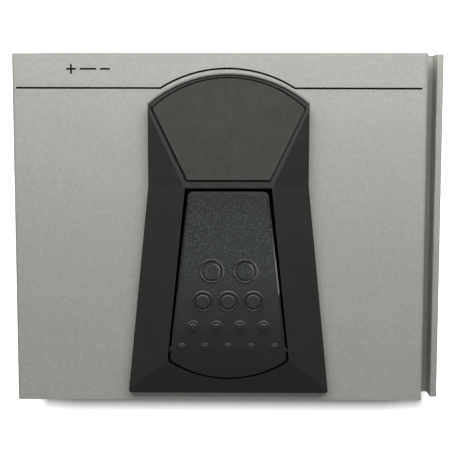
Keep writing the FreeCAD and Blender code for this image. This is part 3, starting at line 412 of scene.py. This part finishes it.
def powder_coat(name, color):
    """Black coat with the fine orange peel that powder leaves."""
    surface = Surface(name, color, roughness=0.45)
    surface.clouds(size_mm=8, detail=3, dark=0.92, light=1.08)
    surface.uneven_gloss(size_mm=1.5, detail=3, low=0.4, high=0.55)
    surface.relief(surface.noise(size_mm=0.45, detail=2), depth_mm=0.035)
    return surface.done()


def metal(name, color, roughness, stretch=(1.0, 1.0, 1.0)):
    """Bare or plated metal with fine scratches along the axis whose scale is smallest."""
    surface = Surface(name, color, roughness, metallic=1.0)
    surface.clouds(size_mm=3, detail=4, dark=0.92, light=1.08)
    surface.uneven_gloss(size_mm=0.4, detail=3, low=roughness * 0.75, high=roughness * 1.3, stretch=stretch)
    surface.relief(surface.noise(size_mm=0.2, detail=2, stretch=stretch), depth_mm=0.004)
    return surface.done()


def threaded(name, color, roughness, pitch_mm, depth_mm):
    """Plated metal with the turns of a thread round the Y axis."""
    surface = Surface(name, color, roughness, metallic=1.0)
    surface.clouds(size_mm=2, detail=3, dark=0.9, light=1.08)
    surface.uneven_gloss(size_mm=0.5, detail=3, low=roughness * 0.8, high=roughness * 1.25)
    surface.relief(surface.rings(pitch_mm, "Y"), depth_mm)
    return surface.done()


def solder_mask():
    """Green board with darker areas between the copper planes and a faint weave."""
    surface = Surface("solder_mask", rgb(30, 92, 52), roughness=0.32)
    planes = surface.cells(COPPER_PLANE)
    surface.shade(surface.span(planes, NOISE_LOW, NOISE_HIGH, at_low=0.78, at_high=1.1))
    surface.clouds(size_mm=0.8, detail=2, dark=0.95, light=1.05, stretch=WEAVE)
    surface.uneven_gloss(size_mm=2, detail=2, low=0.26, high=0.4)
    surface.relief(planes, depth_mm=0.02)
    return surface.done()


def printing_ink():
    """Thin black ink that hardly shines."""
    surface = Surface("printed_ink", rgb(7, 7, 8), roughness=0.7)
    surface.clouds(size_mm=0.6, detail=3, dark=0.7, light=1.4)
    surface.uneven_gloss(size_mm=1.0, detail=2, low=0.5, high=0.7)
    surface.relief(surface.noise(size_mm=0.2, detail=2), depth_mm=0.004)
    surface.set("Specular IOR Level", 0.1)
    return surface.done()


zinc = metal("zinc_plate", rgb(196, 196, 190), 0.3)
nickel = metal("nickel_plate", rgb(205, 203, 196), 0.18)
panel_coat = powder_coat("panel_coat", rgb(38, 38, 38))
brass = metal("contact_brass", rgb(212, 182, 110), 0.25, LENGTHWISE)
tin = metal("tinned_leads", rgb(200, 202, 202), 0.35)
looks = {
    "chassis_shell": silver_paint(),
    "front_panel": panel_coat,
    "rear_panel": panel_coat,
    "base_plate": powder_coat("base_coat", rgb(44, 44, 45)),
    "panel_screws": metal("blackened_steel", rgb(66, 66, 66), 0.35),
    "base_screws": zinc,
    "rubber_feet": rubber("foot_rubber", rgb(34, 34, 34)),
    "pedal_frame": frame_plastic(),
    "frame_screws": zinc,
    "fan_inlay": grip_rubber(),
    "treadle": treadle_plastic(),
    "hinge_pin": metal("ground_pin", rgb(200, 200, 200), 0.2, ACROSS),
    "return_spring": metal("spring_wire", rgb(180, 182, 185), 0.25),
    "stop_bumpers": rubber("stop_rubber", rgb(52, 50, 48)),
    "circuit_board": solder_mask(),
    "board_standoffs": zinc,
    "board_screws": zinc,
    "microswitch_case": moulded("switch_case", rgb(40, 42, 46), 0.4),
    "microswitch_plunger": moulded("switch_plunger", rgb(178, 40, 32), 0.3),
    "microswitch_lever": metal("rolled_steel", rgb(188, 190, 190), 0.28, LENGTHWISE),
    "microswitch_leads": tin,
    "jack_body": moulded("jack_plastic", rgb(36, 36, 36), 0.45),
    "jack_bushing": threaded("bushing_thread", rgb(205, 203, 196), 0.2, pitch_mm=0.75, depth_mm=0.16),
    "jack_washer": nickel,
    "jack_nut": nickel,
    "jack_tip_contact": brass,
    "jack_sleeve_contact": brass,
    "polarity_frame": metal("slide_shell", rgb(186, 188, 186), 0.32, ACROSS),
    "polarity_base": moulded("phenolic_base", rgb(122, 84, 52), 0.5),
    "polarity_slider": moulded("slide_knob", rgb(34, 34, 34), 0.4, 0.3, 0.008),
    "polarity_leads": tin,
}

for node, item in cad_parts.items():
    for slot in item.material_slots:
        slot.material = looks[node]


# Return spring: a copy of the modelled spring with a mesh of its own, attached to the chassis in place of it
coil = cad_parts["return_spring"]
spring = bpy.data.objects.new("wound_spring", coil.data.copy())
bpy.context.scene.collection.objects.link(spring)
spring.matrix_world = coil.matrix_world.copy()
for slot in spring.material_slots:
    slot.material = looks["return_spring"]
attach(spring, "chassis")
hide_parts("return_spring")
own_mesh(spring)


# Print on the plate: a line that arches behind the frame, and generic signs
PLATE_TOP = 20.5
PRINT_HEIGHT = 0.02
LINE_WIDTH = 0.44
LINE_Y = 33.36
LINE_SLOPE = -0.0018
LINE_LEFT = -50.05
LINE_RIGHT = 45.45
ARC_LEFT = -16.0
ARC_RIGHT = 15.6
ARC_APEX = (-0.1, 37.94)
ARC_STEPS = 48
SIGN_Y = 37.85
SIGN_SIZE = 2.3
SIGN_STROKE = 0.42
PLUS_X = -37.0
MINUS_X = -29.0
SIGN_BAR = (-34.9, -31.1)


def circle_through(a, b, c):
    """Centre and radius of the circle through three points of the plane."""
    ax, ay = a
    bx, by = b
    cx, cy = c
    base = 2 * (ax * (by - cy) + bx * (cy - ay) + cx * (ay - by))
    squares = [x * x + y * y for x, y in (a, b, c)]
    x = (squares[0] * (by - cy) + squares[1] * (cy - ay) + squares[2] * (ay - by)) / base
    y = (squares[0] * (cx - bx) + squares[1] * (ax - cx) + squares[2] * (bx - ax)) / base
    return (x, y), math.hypot(ax - x, ay - y)


def ribbon_sides(points, width):
    """Pairs of points on both sides of a flat path, with mitred corners."""
    pairs = []
    for index, point in enumerate(points):
        before = (point - points[index - 1]).normalized() if index else None
        after = (points[index + 1] - point).normalized() if index + 1 < len(points) else None
        first = before or after
        second = after or before
        side = Vector((-first.y - second.y, first.x + second.x)).normalized()
        reach = width / 2 / side.dot(Vector((-first.y, first.x)))
        pairs.append((point + side * reach, point - side * reach))
    return pairs


def printed(name, paths, width):
    """Thin layer of ink that follows flat paths on the plate, as one mesh."""
    vertices = []
    faces = []
    low = PLATE_TOP * MM
    high = (PLATE_TOP + PRINT_HEIGHT) * MM
    corners = 4
    for path in paths:
        pairs = ribbon_sides([Vector(point) for point in path], width)
        first = len(vertices)
        last = first + corners * (len(pairs) - 1)
        for left, right in pairs:
            for point, z in ((left, low), (right, low), (right, high), (left, high)):
                vertices.append((point.x * MM, point.y * MM, z))
        for here in range(first, last, corners):
            there = here + corners
            for a in range(corners):
                b = (a + 1) % corners
                faces.append((here + a, there + a, there + b, here + b))
        faces.append((first, first + 1, first + 2, first + 3))
        faces.append((last + 3, last + 2, last + 1, last))
    mesh = bpy.data.meshes.new(name)
    mesh.from_pydata(vertices, [], faces)
    mesh.validate()
    piece = bpy.data.objects.new(name, mesh)
    bpy.context.scene.collection.objects.link(piece)
    mesh.materials.append(ink)
    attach(piece, "chassis")


ink = printing_ink()
line = {x: LINE_Y + LINE_SLOPE * x for x in (LINE_LEFT, ARC_LEFT, ARC_RIGHT, LINE_RIGHT)}
centre, radius = circle_through((ARC_LEFT, line[ARC_LEFT]), ARC_APEX, (ARC_RIGHT, line[ARC_RIGHT]))
start = math.atan2(line[ARC_LEFT] - centre[1], ARC_LEFT - centre[0])
end = math.atan2(line[ARC_RIGHT] - centre[1], ARC_RIGHT - centre[0])
stripe = [(LINE_LEFT, line[LINE_LEFT])]
for step in range(ARC_STEPS + 1):
    angle = start + (end - start) * step / ARC_STEPS
    stripe.append((centre[0] + radius * math.cos(angle), centre[1] + radius * math.sin(angle)))
stripe.append((LINE_RIGHT, line[LINE_RIGHT]))
printed("printed_stripe", [stripe], LINE_WIDTH)
half_sign = SIGN_SIZE / 2
half_stroke = SIGN_STROKE / 2
signs = [
    [(PLUS_X - half_sign, SIGN_Y), (PLUS_X + half_sign, SIGN_Y)],
    [(PLUS_X, SIGN_Y + half_stroke), (PLUS_X, SIGN_Y + half_sign)],
    [(PLUS_X, SIGN_Y - half_sign), (PLUS_X, SIGN_Y - half_stroke)],
    [(MINUS_X - half_sign, SIGN_Y), (MINUS_X + half_sign, SIGN_Y)],
    [(SIGN_BAR[0], SIGN_Y), (SIGN_BAR[1], SIGN_Y)],
]
printed("printed_signs", signs, SIGN_STROKE)


# Floor: white to the camera, apart from the zone in which it shows the object's shadow
FLOOR_SIZE = 4000.0
FLOOR_GREY = 0.86
FLOOR_GLOW = 0.9
SHADOW_FRONT = (-50.4, -47.2)
SHADOW_REAR = (44.0, 47.0)
SHADOW_SIDE = (48.5, 51.5)
SHADOW_MIDDLE = 1.0


def floor_material():
    """White floor that stays white round the object, except close in front, where its shadow falls."""
    surface = Surface("floor_white", (FLOOR_GREY, FLOOR_GREY, FLOOR_GREY), roughness=0.9)
    surface.clouds(size_mm=60, detail=3, dark=0.99, light=1.01)
    surface.relief(surface.noise(size_mm=3, detail=2), depth_mm=0.02)
    surface.set("Emission Color", WHITE + (1.0,))
    place = surface.parts(surface.place)
    side = surface.math("ABSOLUTE", surface.math("SUBTRACT", place["X"], SHADOW_MIDDLE * MM))
    shadow = surface.meet(surface.ramp(place["Y"], *SHADOW_FRONT),
                          surface.ramp(side, *SHADOW_SIDE, 1.0, 0.0),
                          surface.ramp(place["Y"], *SHADOW_REAR, 1.0, 0.0))
    glow = surface.span(shadow, 0.0, 1.0, FLOOR_GLOW, 0.0)
    rays = surface.nodes.new("ShaderNodeLightPath")
    surface.links.new(surface.meet(glow, rays.outputs["Is Camera Ray"]),
                      surface.shader.inputs["Emission Strength"])
    return surface.done()


half_floor = FLOOR_SIZE * MM / 2
floor_mesh = bpy.data.meshes.new("floor")
floor_mesh.from_pydata([(-half_floor, -half_floor, 0), (half_floor, -half_floor, 0),
                        (half_floor, half_floor, 0), (-half_floor, half_floor, 0)], [], [(0, 1, 2, 3)])
floor = bpy.data.objects.new("floor", floor_mesh)
bpy.context.scene.collection.objects.link(floor)
floor_mesh.materials.append(floor_material())


# World: strengths of the light from all around, and how they change along X and Y
AMBIENT = 0.19
AMBIENT_REAR = -0.12
REFLECTED_STUDIO = 0.12
REFLECTED_SIDE = -0.05
REFLECTED_REAR = -0.15
SEEN_STUDIO = 1.0


def studio_world():
    """Grey light from all around, a little brighter in front, white where the camera sees it."""
    world = bpy.data.worlds.new("studio")
    world.use_nodes = True
    nodes = world.node_tree.nodes
    links = world.node_tree.links
    rays = nodes.new("ShaderNodeLightPath")
    direction = nodes.new("ShaderNodeTexCoord")
    apart = nodes.new("ShaderNodeSeparateXYZ")
    links.new(direction.outputs["Generated"], apart.inputs["Vector"])
    aside = math_node(nodes, links, "MULTIPLY", apart.outputs["X"], REFLECTED_SIDE)
    reflected = math_node(nodes, links, "MULTIPLY_ADD", apart.outputs["Y"], REFLECTED_REAR, REFLECTED_STUDIO)
    reflected = math_node(nodes, links, "ADD", reflected, aside)
    reflected = math_node(nodes, links, "MAXIMUM", reflected, 0.0)
    strength = math_node(nodes, links, "MULTIPLY_ADD", apart.outputs["Y"], AMBIENT_REAR, AMBIENT)
    for name, level in (("Is Glossy Ray", reflected), ("Is Camera Ray", SEEN_STUDIO)):
        change = nodes.new("ShaderNodeMix")
        change.data_type = "FLOAT"
        links.new(rays.outputs[name], change.inputs["Factor"])
        links.new(strength, change.inputs["A"])
        if isinstance(level, float):
            change.inputs["B"].default_value = level
        else:
            links.new(level, change.inputs["B"])
        strength = change.outputs["Result"]
    background = nodes["Background"]
    background.inputs["Color"].default_value = WHITE + (1.0,)
    links.new(strength, background.inputs["Strength"])
    bpy.context.scene.world = world


studio_world()


# Lamps, in metres and watts: the key light lights surfaces, its gloss covers only its upper half, so that
# black plastic doesn't turn white in low views from the front
KEY_PLACE = (0.01, 0.2, 0.15)
KEY_AIM = (0.0, 0.0, 0.02)
KEY_SIZE = (0.5, 0.25)
KEY_POWER = 1.48
GLOSS_PLACE = (0.01, 0.234, 0.2025)
GLOSS_AIM = (0.0, 0.034, 0.0725)
GLOSS_SIZE = (0.5, 0.125)
GLOSS_POWER = 0.8
CEILING_PLACE = (0.02, -0.05, 0.5)
CEILING_AIM = (0.02, 0.0, 0.02)
CEILING_SIZE = (0.25, 0.05)
CEILING_POWER = 0.06
CEILING_COLOR = (0.75, 0.9, 1.0)


def area_light(name, place, aim, size, power, color=WHITE, diffuse=True, glossy=True):
    """Rectangular lamp at a place, turned to an aim."""
    light = bpy.data.lights.new(name, "AREA")
    light.shape = "RECTANGLE"
    light.size, light.size_y = size
    light.energy = power
    light.color = color
    lamp = bpy.data.objects.new(name, light)
    lamp.location = place
    lamp.visible_diffuse = diffuse
    lamp.visible_glossy = glossy
    lamp.rotation_euler = (Vector(aim) - Vector(place)).to_track_quat("-Z", "Y").to_euler()
    bpy.context.scene.collection.objects.link(lamp)


area_light("key_rear", KEY_PLACE, KEY_AIM, KEY_SIZE, KEY_POWER, glossy=False)
area_light("key_gloss", GLOSS_PLACE, GLOSS_AIM, GLOSS_SIZE, GLOSS_POWER, diffuse=False)
area_light("ceiling_strip", CEILING_PLACE, CEILING_AIM, CEILING_SIZE, CEILING_POWER, CEILING_COLOR)


# Camera, fitted to the corners of plate, groove and rail: place and lens in millimetres, turn in degrees
CAMERA_PLACE = (1.709, 25.21, 257.6)
CAMERA_TURN = (-5.791, 0.616, 0.045)
CAMERA_SENSOR = 36.0
CAMERA_LENS = 80.103
CAMERA_SHIFT = -0.0008
CAMERA_NEAR = 10.0
camera_data = bpy.data.cameras.new("camera")
camera_data.sensor_width = CAMERA_SENSOR
camera_data.lens = CAMERA_LENS
camera_data.clip_start = CAMERA_NEAR * MM
camera_data.shift_y = CAMERA_SHIFT
camera = bpy.data.objects.new("camera", camera_data)
camera.location = [value * MM for value in CAMERA_PLACE]
camera.rotation_euler = [math.radians(angle) for angle in CAMERA_TURN]
bpy.context.scene.collection.objects.link(camera)
bpy.context.scene.camera = camera
bpy.context.scene.view_settings.view_transform = "Standard"
